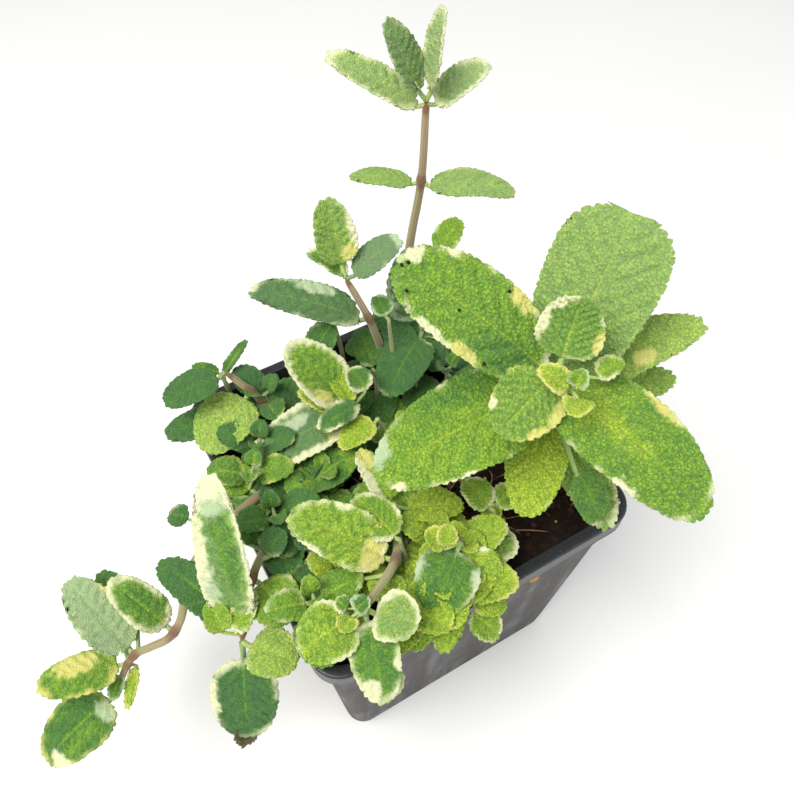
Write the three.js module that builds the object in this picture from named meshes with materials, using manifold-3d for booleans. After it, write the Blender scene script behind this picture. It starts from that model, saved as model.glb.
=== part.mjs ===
// A variegated apple mint growing in a square nursery pot.
// Millimetres, +Z up. The origin is the middle of the pot's underside.

import * as THREE from 'three';
import { mergeVertices } from 'three/addons/utils/BufferGeometryUtils.js';
import Module from 'manifold-3d';

const wasm = await Module();
wasm.setup();

// Pot
const rimWidth = 92; // outside, across the turned-down rim
const rimOverhang = 2; // how far the rim stands out past the wall
const wallDraft = 5.5; // how far each wall leans in between the rim and the floor
const potHeight = 90;
const wall = 1.2;
const floorThickness = 1.6;
const rimDepth = 6; // how far the rim turns down
const cornerRadius = 6;
const cornerSteps = 5;
const drainHoleDiameter = 7;
const drainHoleInset = 13; // from the outside of the wall to the hole's middle
const topWidth = rimWidth - 2 * rimOverhang; // outside of the wall where it meets the rim
const baseWidth = topWidth - 2 * wallDraft; // outside of the wall at the floor

// Soil
const soilDrop = 8; // from the rim's top down to the soil
const fitClearance = 0.3; // left between pieces that touch

// Plant
const plantWidth = 92; // the rim width that the shoots below are drawn for
const stemThickness = 3; // across a main stem at the soil
const stemTaper = 0.6; // tip thickness as a share of the thickness at the soil
const leafThickness = 1; // over the blisters of the blade
const stalkLength = 2.5; // the bare stalk between the stem and the blade
const stalkWidth = 1.6;
const steepestLean = 0.5; // sine of the least angle that a leaf off the stem's side makes with it

const plantScale = rimWidth / plantWidth; // the shoots spread with the pot

// Each shoot is one stem and its leaves. A stem's points run from its planted end to its tip:
// x, y from the pot's middle and z from the rim's top. A leaf springs from the point numbered
// `at`, heads along `turn` (degrees round Z from +X) and `rise` (degrees up), and is rolled about
// its own line by `roll`. `arch` lifts the middle of the blade and `cup` lifts its two edges.
const shoots = [
  {
    name: 'front_right',
    points: [
      [35, -11, -20], [35, -12, -6], [34, -15, 16], [32, -17, 25], [29, -20, 36], [26, -23, 45], [24, -25, 51],
    ],
    leaves: [
      { at: 5, turn: 126, rise: 27, roll: -10, length: 41, width: 22, arch: 2, cup: 1 },
      { at: 4, turn: 174, rise: -14, roll: -8, length: 44, width: 23, arch: 3, cup: 1 },
      { at: 4, turn: 26, rise: 52, roll: 0, length: 40, width: 25, arch: 1, cup: 1 },
      { at: 5, turn: -78, rise: -7, roll: 0, length: 40, width: 23, arch: 3, cup: 0 },
      { at: 6, turn: 38, rise: 54, roll: 0, length: 14, width: 14, arch: -1, cup: 1 },
      { at: 6, turn: -167, rise: -20, roll: -18, length: 17, width: 15, arch: 2, cup: 0 },
      { at: 3, turn: -20, rise: 33, roll: 0, length: 38, width: 15, arch: 4, cup: 0 },
      { at: 2, turn: -31, rise: 26, roll: 0, length: 31, width: 13, arch: 2, cup: 0 },
      { at: 3, turn: -133, rise: -20, roll: 0, length: 28, width: 15, arch: 3, cup: 0 },
      { at: 2, turn: -93, rise: -15, roll: 0, length: 32, width: 14, arch: 3, cup: 0 },
    ],
  },
  {
    name: 'tall_back',
    points: [[22, 38, -20], [22, 39, -6], [29, 45, 28], [32, 45, 48], [34, 47, 70]],
    leaves: [
      { at: 3.9, turn: 142, rise: 27, roll: -25, length: 25, width: 8, arch: 1, cup: 1 },
      { at: 3.9, turn: -20, rise: 36, roll: 25, length: 16, width: 8, arch: 1, cup: 1 },
      { at: 4, turn: 156, rise: 65, roll: -40, length: 19, width: 9, arch: 0, cup: 1 },
      { at: 4, turn: -49, rise: 82, roll: 40, length: 20, width: 9, arch: 0, cup: 1 },
      { at: 3, turn: 150, rise: 5, roll: 0, length: 17, width: 7, arch: 1, cup: 0 },
      { at: 3, turn: -40, rise: 0, roll: 0, length: 23, width: 11, arch: 2, cup: 0 },
    ],
  },
  {
    name: 'left_back',
    points: [[13, 30, -20], [13, 31, -6], [8, 31, 20], [4, 36, 34]],
    leaves: [
      { at: 3, turn: 86, rise: 62, roll: 0, length: 18, width: 11, arch: 0, cup: 1 },
      { at: 3, turn: -5, rise: 27, roll: 0, length: 16, width: 10, arch: 1, cup: 0 },
      { at: 2, turn: 147, rise: 17, roll: 0, length: 31, width: 13, arch: 2, cup: 1 },
    ],
  },
  {
    name: 'middle_back',
    points: [[24, 28, -20], [23, 27, -6], [24, 29, 8]],
    leaves: [
      { at: 2, turn: 82, rise: 72, roll: 0, length: 24, width: 19, arch: 1, cup: 0 },
      { at: 2, turn: -143, rise: 1, roll: 0, length: 24, width: 14, arch: 2, cup: 0 },
    ],
  },
  {
    name: 'left_middle',
    points: [[-2, 12, -20], [-3, 13, -6], [-6, 14, 3], [-7, 14, 10]],
    leaves: [
      { at: 3, turn: 118, rise: 35, roll: 0, length: 22, width: 15, arch: 1, cup: 1 },
      { at: 3, turn: 178, rise: -15, roll: 0, length: 30, width: 16, arch: 2, cup: 1 },
      { at: 2, turn: -145, rise: -10, roll: 0, length: 21, width: 14, arch: 2, cup: 0 },
    ],
  },
  {
    name: 'left_edge',
    points: [[-22, 4, -20], [-24, 3, -6], [-36, -4, 3], [-49, -13, 2], [-58, -25, -3]],
    leaves: [
      { at: 4, turn: 72, rise: 46, roll: -14, length: 39, width: 12, arch: 2, cup: 1 },
      { at: 3.75, turn: 118, rise: 12, roll: 0, length: 24, width: 10, arch: 2, cup: 0 },
      { at: 4, turn: -115, rise: -38, roll: 0, length: 20, width: 16, arch: 2, cup: 0 },
      { at: 4, turn: -51, rise: 2, roll: 0, length: 13, width: 12, arch: 2, cup: 0 },
      { at: 3, turn: -78, rise: -4, roll: 0, length: 13, width: 13, arch: 2, cup: 0 },
    ],
  },
  {
    name: 'trailing',
    points: [
      [-28, 12, -20], [-30, 11, -6], [-43, 4, 4], [-60, -2, 1], [-72, -11, -12], [-85, -8, -21], [-92, -11, -29],
    ],
    leaves: [
      { at: 4.9, turn: 108, rise: 35, roll: 0, length: 24, width: 12, arch: 1, cup: 1 },
      { at: 4, turn: 118, rise: 27, roll: 0, length: 19, width: 10, arch: 2, cup: 0 },
      { at: 5.1, turn: 172, rise: 12, roll: 0, length: 20, width: 11, arch: 1, cup: 0 },
      { at: 6, turn: -160, rise: 0, roll: 0, length: 20, width: 16, arch: 2, cup: 0 },
    ],
  },
  {
    name: 'front',
    points: [[-9, -13, -20], [-10, -15, -6], [-18, -29, 7], [-31, -38, 14]],
    leaves: [
      { at: 2, turn: 132, rise: 16, roll: 0, length: 26, width: 15, arch: 2, cup: 1 },
      { at: 3, turn: -175, rise: -5, roll: 0, length: 14, width: 14, arch: 2, cup: 0 },
      { at: 3, turn: -48, rise: 6, roll: 0, length: 11, width: 12, arch: 1, cup: 0 },
      { at: 3, turn: -106, rise: -12, roll: 0, length: 18, width: 11, arch: 2, cup: 0 },
    ],
  },
  {
    name: 'centre',
    points: [[-8, -6, -20], [-8, -8, -6], [-10, -16, 5]],
    leaves: [
      { at: 2, turn: 100, rise: 28, roll: 0, length: 16, width: 7, arch: 0, cup: 1 },
      { at: 2, turn: -30, rise: 5, roll: 0, length: 15, width: 9, arch: 1, cup: 0 },
    ],
  },
  {
    name: 'front_low',
    points: [[2, -17, -20], [2, -19, -6], [-1, -31, 4], [-3, -34, 11]],
    leaves: [
      { at: 2.8, turn: -88, rise: -22, roll: 0, length: 14, width: 12, arch: 2, cup: 0 },
      { at: 3, turn: -142, rise: -14, roll: 0, length: 16, width: 15, arch: 2, cup: 0 },
      { at: 2, turn: -130, rise: -11, roll: 0, length: 25, width: 10, arch: 3, cup: 0 },
      { at: 1.6, turn: -50, rise: 2, roll: 0, length: 15, width: 11, arch: 1, cup: 0 },
    ],
  },
  {
    name: 'left_corner',
    points: [[-23, 29, -20], [-24, 30, -6], [-27, 33, 5], [-33, 38, 15]],
    leaves: [
      { at: 3, turn: 180, rise: -5, roll: 0, length: 16, width: 11, arch: 1, cup: 0 },
      { at: 2.3, turn: -151, rise: -11, roll: 0, length: 19, width: 17, arch: 2, cup: 0 },
      { at: 1.75, turn: 172, rise: 0, roll: 0, length: 26, width: 12, arch: 1, cup: 0 },
    ],
  },
];

const potPlastic = () => new THREE.MeshStandardMaterial({ color: '#23262d', roughness: 0.55, metalness: 0 });
const darkSoil = () => new THREE.MeshStandardMaterial({ color: '#241a12', roughness: 0.95, metalness: 0 });
const stemSkin = () => new THREE.MeshStandardMaterial({ color: '#a08a5c', roughness: 0.7, metalness: 0 });
const leafSkin = () => new THREE.MeshStandardMaterial({ color: '#6f9e3c', roughness: 0.65, metalness: 0 });

// Closed geometry to a manifold solid and back.

function toSolid(geometry) {
  const bare = geometry.clone();
  bare.deleteAttribute('normal');
  bare.deleteAttribute('uv');
  const welded = mergeVertices(bare);
  return new wasm.Manifold(new wasm.Mesh({
    numProp: 3,
    vertProperties: new Float32Array(welded.attributes.position.array),
    triVerts: new Uint32Array(welded.index.array),
  }));
}

function toGeometry(solid) {
  const cut = solid.getMesh();
  const geometry = new THREE.BufferGeometry();
  geometry.setAttribute('position', new THREE.BufferAttribute(cut.vertProperties, 3));
  geometry.setIndex(new THREE.BufferAttribute(cut.triVerts, 1));
  geometry.computeVertexNormals();
  return geometry;
}

// A square with round corners, centred on the axis.
function roundedSquare(width, radius) {
  const edge = width / 2;
  const start = edge - radius;
  const shape = new THREE.Shape();
  shape.absarc(start, start, radius, 0, Math.PI / 2);
  shape.absarc(-start, start, radius, Math.PI / 2, Math.PI);
  shape.absarc(-start, -start, radius, Math.PI, Math.PI * 1.5);
  shape.absarc(start, -start, radius, Math.PI * 1.5, Math.PI * 2);
  return shape;
}

// A rounded square block whose width runs evenly from one level to the next.
function taperedBlock({ from, to, bottom, top, radius }) {
  const geometry = new THREE.ExtrudeGeometry(roundedSquare(top, radius), {
    depth: to - from,
    bevelEnabled: false,
    curveSegments: cornerSteps,
  });
  const position = geometry.attributes.position;
  for (let i = 0; i < position.count; i += 1) {
    const share = position.getZ(i) / (to - from);
    const scale = THREE.MathUtils.lerp(bottom / top, 1, share);
    position.setXYZ(i, position.getX(i) * scale, position.getY(i) * scale, position.getZ(i) + from);
  }
  return toSolid(geometry);
}

const wallWidthAt = (z) => THREE.MathUtils.lerp(baseWidth, topWidth, z / potHeight);

function makePot() {
  const above = 1; // the cuts run this far past the faces that they open
  const shell = taperedBlock({ from: 0, to: potHeight, bottom: baseWidth, top: topWidth, radius: cornerRadius });
  const skirtFoot = potHeight - rimDepth;
  const skirt = taperedBlock({
    from: skirtFoot,
    to: potHeight,
    bottom: rimWidth,
    top: rimWidth,
    radius: cornerRadius + rimOverhang,
  });
  const skirtHollow = taperedBlock({
    from: skirtFoot - above,
    to: potHeight - wall,
    bottom: rimWidth - 2 * wall,
    top: rimWidth - 2 * wall,
    radius: cornerRadius + rimOverhang - wall,
  });
  const inside = taperedBlock({
    from: floorThickness,
    to: potHeight + above,
    bottom: wallWidthAt(floorThickness) - 2 * wall,
    top: wallWidthAt(potHeight + above) - 2 * wall,
    radius: cornerRadius - wall,
  });
  let pot = skirt.subtract(skirtHollow).add(shell).subtract(inside);

  const holeReach = baseWidth / 2 - drainHoleInset;
  const holePlaces = [-1, 0, 1].flatMap((i) => [-1, 0, 1].map((j) => [i, j]));
  for (const [i, j] of holePlaces) {
    if (i === 0 && j === 0) continue; // the middle of the floor stays whole
    const hole = new THREE.CylinderGeometry(
      drainHoleDiameter / 2, drainHoleDiameter / 2, floorThickness + 2 * above, 12);
    hole.rotateX(Math.PI / 2);
    hole.translate(i * holeReach, j * holeReach, floorThickness / 2);
    pot = pot.subtract(toSolid(hole));
  }
  return toGeometry(pot);
}

// A stem's middle line, set out round the pot's middle from the rim's top.
function stemCurve(shoot) {
  const places = shoot.points.map(([x, y, z]) => new THREE.Vector3(x, y, z)
    .multiplyScalar(plantScale)
    .add(new THREE.Vector3(0, 0, potHeight)));
  return new THREE.CatmullRomCurve3(places, false, 'centripetal');
}

const stemRadiusAt = (share) => (stemThickness / 2) * THREE.MathUtils.lerp(1, stemTaper, share);

// A tapering round stem bent along its curve. `spare` widens it all round.
function stemGeometry(curve, spare = 0) {
  const steps = Math.round(curve.getLength() / 6);
  const geometry = new THREE.CylinderGeometry(1, 1, 1, 8, steps);
  const frames = curve.computeFrenetFrames(steps);
  const position = geometry.attributes.position;
  for (let i = 0; i < position.count; i += 1) {
    const share = position.getY(i) + 0.5;
    const ring = Math.round(share * steps);
    const radius = stemRadiusAt(share) + spare;
    const bent = curve.getPointAt(ring / steps)
      .addScaledVector(frames.tangents[ring], ring === 0 ? -spare : 0)
      .addScaledVector(frames.binormals[ring], position.getX(i) * radius)
      .addScaledVector(frames.normals[ring], position.getZ(i) * radius);
    position.setXYZ(i, bent.x, bent.y, bent.z);
  }
  geometry.computeVertexNormals();
  return geometry;
}

function makeSoil(curves) {
  const top = potHeight - soilDrop;
  const foot = floorThickness + fitClearance;
  const gap = 2 * (wall + fitClearance);
  let soil = taperedBlock({
    from: foot,
    to: top,
    bottom: wallWidthAt(foot) - gap,
    top: wallWidthAt(top) - gap,
    radius: cornerRadius - wall,
  });
  for (const curve of curves) {
    soil = soil.subtract(toSolid(stemGeometry(curve, fitClearance)));
  }
  return toGeometry(soil);
}

// Half the blade's width at a share of its length: a narrow stalk, then a full oval.
function halfWidthAt(share, length, width) {
  const stalk = stalkLength / length;
  const along = THREE.MathUtils.clamp((share - stalk) / (1 - stalk), 0, 1);
  const oval = Math.sin(Math.PI * along ** 0.9) ** 0.5;
  return Math.max(stalkWidth / 2, (width / 2) * oval);
}

// A leaf lying along +X from its stalk at the origin, with its upper face to +Z.
function leafGeometry({ length, width, arch, cup }) {
  const steps = length > 20 ? 8 : 6;
  const geometry = new THREE.BoxGeometry(1, 2, leafThickness, steps, 4, 1);
  const position = geometry.attributes.position;
  for (let i = 0; i < position.count; i += 1) {
    const share = position.getX(i) + 0.5;
    const across = position.getY(i);
    const half = halfWidthAt(share, length, width);
    const bow = arch * 4 * share * (1 - share);
    const lift = cup * across ** 2 * (2 * half / width);
    position.setXYZ(i, share * length, across * half, position.getZ(i) + bow + lift);
  }
  geometry.computeVertexNormals();
  return geometry;
}

function makeLeaf(leaf, curve, pointCount) {
  const length = leaf.length * plantScale;
  const width = leaf.width * plantScale;
  const mesh = new THREE.Mesh(leafGeometry({ ...leaf, length, width }), leafSkin());
  mesh.rotation.order = 'ZYX';
  mesh.rotation.set(
    THREE.MathUtils.degToRad(leaf.roll),
    THREE.MathUtils.degToRad(-leaf.rise),
    THREE.MathUtils.degToRad(leaf.turn),
  );
  // The stalk starts just off the stem's skin, so a leaf that leans along the stem starts further out.
  const node = leaf.at / (pointCount - 1);
  const heading = new THREE.Vector3(1, 0, 0).applyEuler(mesh.rotation);
  const lean = heading.clone().cross(curve.getTangent(node)).length();
  const offset = (stemRadiusAt(node) + fitClearance + leafThickness / 2) / Math.max(lean, steepestLean);
  mesh.position.copy(curve.getPoint(node)).addScaledVector(heading, offset);
  return mesh;
}

const plant = new THREE.Group();

const pot = new THREE.Mesh(makePot(), potPlastic());
pot.name = 'pot';
plant.add(pot);

const curves = shoots.map(stemCurve);
const soil = new THREE.Mesh(makeSoil(curves), darkSoil());
soil.name = 'soil';
plant.add(soil);

shoots.forEach((shoot, s) => {
  const stem = new THREE.Mesh(stemGeometry(curves[s]), stemSkin());
  stem.name = `${shoot.name}_stem`;
  plant.add(stem);
  shoot.leaves.forEach((leaf, k) => {
    const blade = makeLeaf(leaf, curves[s], shoot.points.length);
    blade.name = `${shoot.name}_leaf_${k + 1}`;
    plant.add(blade);
  });
});

export default plant;
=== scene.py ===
# Looks of a variegated apple mint in a square nursery pot.
# Lengths are in millimetres until they are placed, and in metres in the meshes.

import math
import random

import bmesh
import bpy
from mathutils import Matrix, Vector, noise


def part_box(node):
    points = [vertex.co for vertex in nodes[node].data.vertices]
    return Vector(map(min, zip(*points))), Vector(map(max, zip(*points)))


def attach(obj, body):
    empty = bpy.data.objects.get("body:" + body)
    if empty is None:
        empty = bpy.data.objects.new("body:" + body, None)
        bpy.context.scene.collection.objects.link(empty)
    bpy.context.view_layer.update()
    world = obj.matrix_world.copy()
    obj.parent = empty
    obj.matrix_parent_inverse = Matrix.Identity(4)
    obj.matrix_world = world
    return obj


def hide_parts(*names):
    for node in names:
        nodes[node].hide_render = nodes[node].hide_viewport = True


mm = 0.001

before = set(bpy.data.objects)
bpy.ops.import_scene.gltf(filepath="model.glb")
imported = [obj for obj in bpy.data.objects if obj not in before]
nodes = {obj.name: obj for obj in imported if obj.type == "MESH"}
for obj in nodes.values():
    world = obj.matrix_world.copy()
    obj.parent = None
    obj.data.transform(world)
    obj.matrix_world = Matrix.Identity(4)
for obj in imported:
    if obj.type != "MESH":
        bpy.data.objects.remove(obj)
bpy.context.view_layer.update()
potLow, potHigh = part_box("pot")
soilLow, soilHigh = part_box("soil")
rimTop = potHigh.z / mm
soilTop = soilHigh.z / mm
print("frame loaded:", len(nodes), "nodes")


# Small tools

def smoothStep(low, high, value):
    share = min(max((value - low) / (high - low), 0.0), 1.0)
    return share * share * (3 - 2 * share)


def mix(a, b, share):
    return a + (b - a) * share


def clamp(value, limit):
    return min(max(value, -limit), limit)


def wobble(x, y, z):
    return noise.noise(Vector((x, y, z)))


def drift(x, y, z):
    # noise.noise_vector doesn't give the same vector in each run
    return Vector([wobble(x + shift, y, z) for shift in (0, 31, 67)])


def tint(red, green, blue):
    # 0 to 255 screen values to the linear values that shaders take
    def linear(value):
        value /= 255
        return value / 12.92 if value <= 0.04045 else ((value + 0.055) / 1.055) ** 2.4
    return (linear(red), linear(green), linear(blue), 1.0)


def gridMesh(alongCount, acrossCount):
    # a flat unit grid with a UV map, ready to be bent
    bm = bmesh.new()
    bm.loops.layers.uv.new("UVMap")
    bmesh.ops.create_grid(bm, x_segments=alongCount, y_segments=acrossCount, size=0.5, calc_uvs=True)
    return bm


def tubeMesh(points, radii, sides, squareness=0.0, turn=0.0):
    # a closed tube along points, made from a grid that is rolled up and welded
    bm = gridMesh(len(points) - 1, sides)
    tangents = [(points[min(i + 1, len(points) - 1)] - points[max(i - 1, 0)]).normalized()
                for i in range(len(points))]
    side = tangents[0].orthogonal().normalized()
    frames = []
    for tangent in tangents:
        side = (side - tangent * side.dot(tangent)).normalized()
        frames.append((side, tangent.cross(side)))
    for vert in bm.verts:
        ring = round((vert.co.x + 0.5) * (len(points) - 1))
        angle = (vert.co.y + 0.5) * math.tau + turn
        radius = radii[ring] * (1 + squareness * (math.cos(4 * angle)))
        first, second = frames[ring]
        vert.co = points[ring] + (first * math.cos(angle) + second * math.sin(angle)) * radius
    bmesh.ops.remove_doubles(bm, verts=bm.verts, dist=1e-7)
    rims = [edge for edge in bm.edges if edge.is_boundary]
    bmesh.ops.holes_fill(bm, edges=rims, sides=sides + 2)
    bmesh.ops.recalc_face_normals(bm, faces=bm.faces)
    return bm


def meshOf(name, bm):
    mesh = bpy.data.meshes.new(name)
    bm.to_mesh(mesh)
    bm.free()
    return mesh


def joinInto(bm, other):
    held = meshOf("held", other)
    bm.from_mesh(held)
    bpy.data.meshes.remove(held)


def addObject(name, data):
    made = bpy.data.objects.new(name, data)
    bpy.context.scene.collection.objects.link(made)
    return made


def addPiece(name, bm, materials, replaced=()):
    mesh = meshOf(name, bm)
    mesh.shade_smooth()
    for material in materials:
        mesh.materials.append(material)
    piece = addObject(name, mesh)
    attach(piece, "root")
    if replaced:
        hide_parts(*replaced)
    return piece


def addModifier(piece, kind, **settings):
    modifier = piece.modifiers.new(kind.title(), kind)
    for key, value in settings.items():
        setattr(modifier, key, value)
    return modifier


# Materials

class Finish:
    # a Principled material, with short ways to add and join its nodes

    def __init__(self, name, **constants):
        self.material = bpy.data.materials.new(name)
        self.material.use_nodes = True
        self.tree = self.material.node_tree
        self.shader = self.tree.nodes["Principled BSDF"]
        for key, value in constants.items():
            self.shader.inputs[key.replace("_", " ")].default_value = value

    def node(self, kind, inputs=None, **settings):
        made = self.tree.nodes.new("ShaderNode" + kind)
        for key, value in settings.items():
            setattr(made, key, value)
        for key, value in (inputs or {}).items():
            self.feed(made.inputs[key], value)
        return made

    def feed(self, socket, value):
        if isinstance(value, bpy.types.NodeSocket):
            self.tree.links.new(value, socket)
        else:
            socket.default_value = value

    def attribute(self, name):
        return self.node("Attribute", attribute_name=name).outputs["Fac"]

    def place(self):
        return self.node("TexCoord").outputs["Object"]

    def noise(self, scale, detail=3.0, roughness=0.55):
        return self.node("TexNoise", {"Vector": self.place(), "Scale": scale, "Detail": detail,
                                      "Roughness": roughness}).outputs["Fac"]

    def cells(self, scale):
        # the distance to the nearest wall of a cell pattern, in cells
        return self.node("TexVoronoi", {"Vector": self.place(), "Scale": scale},
                         feature="DISTANCE_TO_EDGE").outputs["Distance"]

    def maths(self, operation, first, second):
        return self.node("Math", {0: first, 1: second}, operation=operation).outputs[0]

    def between(self, value, low, high, newLow=0.0, newHigh=1.0):
        return self.node("MapRange", {"Value": value, "From Min": low, "From Max": high,
                                      "To Min": newLow, "To Max": newHigh}).outputs["Result"]

    def blend(self, factor, first, second, kind="MIX"):
        made = self.node("Mix", data_type="RGBA", blend_type=kind)
        colours = [socket for socket in made.inputs if socket.type == "RGBA"]
        self.feed(made.inputs[0], factor)
        self.feed(colours[0], first)
        self.feed(colours[1], second)
        return next(socket for socket in made.outputs if socket.type == "RGBA")

    def ramp(self, factor, stops):
        made = self.node("ValToRGB", {"Fac": factor})
        elements = made.color_ramp.elements
        for element, (position, colour) in zip(elements, (stops[0], stops[-1])):
            element.position = position
            element.color = colour
        for position, colour in stops[1:-1]:
            elements.new(position).color = colour
        return made.outputs["Color"]

    def close(self, colour, roughness, height, strength, distance):
        made = self.node("Bump", {"Height": height, "Strength": strength, "Distance": distance})
        self.feed(self.shader.inputs["Base Color"], colour)
        self.feed(self.shader.inputs["Roughness"], roughness)
        self.feed(self.shader.inputs["Normal"], made.outputs["Normal"])
        return self.material


greenStops = [
    (0.0, tint(38, 84, 58)),
    (0.3, tint(70, 124, 42)),
    (0.6, tint(132, 174, 34)),
    (1.0, tint(190, 214, 48)),
]
cream = tint(234, 234, 192)
golden = tint(220, 212, 122)
milky = tint(188, 206, 168)
dried = tint(96, 74, 52)
# the veins' own dark green, which also paints the shade in their sunken grooves
veinShadeGreen = tint(40, 98, 30)


def leafFinish():
    skin = Finish("leaf_skin", Subsurface_Weight=0.12, Subsurface_Radius=(0.3, 0.7, 0.15),
                  Subsurface_Scale=0.0012, Sheen_Weight=0.18, Sheen_Roughness=0.4,
                  Sheen_Tint=(0.94, 1.0, 0.66, 1.0), Specular_IOR_Level=0.35)
    patchy = skin.between(skin.noise(260.0, 2.0), 0.3, 0.7, -0.02, 0.14)
    speckled = skin.between(skin.noise(2400.0, 2.0), 0.25, 0.75, -0.12, 0.12)
    tone = skin.maths("ADD", skin.attribute("tone"), skin.maths("ADD", patchy, speckled))
    green = skin.ramp(tone, greenStops)
    cells = skin.cells(1350.0)
    # the net between the blisters and the veins are darkened: partly the veins' own green, partly painted
    # shade in their sunken grooves
    netShaded = skin.blend(skin.between(cells, 0.02, 0.18, 0.5, 0.0), green, veinShadeGreen)
    veinShaded = skin.blend(skin.maths("MULTIPLY", skin.attribute("vein"), 0.8), netShaded, veinShadeGreen)
    painted = veinShaded
    for key, paint in (("milk", milky), ("yellow", golden), ("cream", cream), ("dry", dried)):
        painted = skin.blend(skin.attribute(key), painted, paint)
    down = skin.between(skin.noise(5200.0, 1.0), 0.45, 0.75, 0.0, 0.18)
    return skin.close(
        skin.blend(down, painted, tint(208, 224, 158)),
        skin.between(skin.attribute("vein"), 0.0, 1.0, 0.52, 0.72),
        skin.maths("ADD", skin.between(cells, 0.0, 0.3), skin.noise(3600.0, 3.0, 0.7)), 0.7, 0.0002)


def leafBackFinish():
    skin = Finish("leaf_underside", Subsurface_Weight=0.1, Subsurface_Radius=(0.3, 0.6, 0.15),
                  Subsurface_Scale=0.001, Sheen_Weight=0.4, Sheen_Roughness=0.5, Specular_IOR_Level=0.25)
    mottled = skin.between(skin.noise(900.0), 0.3, 0.7, -0.1, 0.1)
    tone = skin.maths("ADD", skin.attribute("tone"), mottled)
    pale = skin.blend(0.42, skin.ramp(tone, greenStops), tint(176, 192, 158))
    ribs = skin.maths("MULTIPLY", skin.attribute("vein"), 0.5)
    ribbed = skin.blend(ribs, pale, tint(188, 202, 150))
    return skin.close(skin.blend(skin.attribute("cream"), ribbed, cream), 0.75,
                      skin.noise(3000.0, 3.0, 0.7), 0.3, 0.00015)


def stemFinish():
    skin = Finish("stem_skin", Sheen_Weight=0.35, Sheen_Roughness=0.5, Specular_IOR_Level=0.3,
                  Subsurface_Weight=0.08, Subsurface_Radius=(0.5, 0.4, 0.2), Subsurface_Scale=0.001)
    unrolled = skin.node("UVMap", uv_map="UVMap").outputs["UV"]
    mapped = skin.node("Mapping", {"Vector": unrolled, "Scale": (6.0, 22.0, 1.0)}).outputs["Vector"]
    streaks = skin.node("TexNoise", {"Vector": mapped, "Scale": 1.0, "Detail": 4.0}).outputs["Fac"]
    young = skin.ramp(streaks, [(0.25, tint(126, 140, 82)), (0.75, tint(176, 172, 120))])
    old = skin.ramp(streaks, [(0.25, tint(126, 92, 74)), (0.75, tint(186, 162, 136))])
    bark = skin.blend(skin.attribute("age"), young, old)
    return skin.close(skin.blend(skin.attribute("knot"), bark, tint(112, 62, 44)),
                      skin.between(streaks, 0.2, 0.8, 0.5, 0.75), skin.noise(2600.0, 3.0, 0.7), 0.4, 0.00015)


leafSkin = leafFinish()
leafBack = leafBackFinish()
stemSkin = stemFinish()
print("leaf and stem finishes made")

# Leaves

bladeDetail = {
    "thickness": 0.4,
    "cellSize": 1.0,  # the blisters between the finest veins
    "cellLift": 0.5,
    "quiltLift": 0.42,  # the swell between two side veins
    "grooveDepth": 0.38,
    "sideVeinLean": 0.75,  # how far a side vein runs forward for each step outwards
    "toothDepth": 0.55,
    "toothPitch": 2.1,
    "petioleRadius": 0.75,
    "pointSpacing": 0.45,
    "marginSteps": 64,
}
# what a leaf has when its look doesn't say otherwise
leafDefaults = {
    "rim": (0.6, 0.25), "rimKind": "cream", "patches": (), "milk": 0.0, "blunt": 2.3, "ovate": 0.35,
    "teeth": 1.0, "veins": 8, "puff": 1.0, "wave": 0.5, "droop": 0.0,
}
maskNames = ("tone", "cream", "yellow", "milk", "dry")


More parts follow.
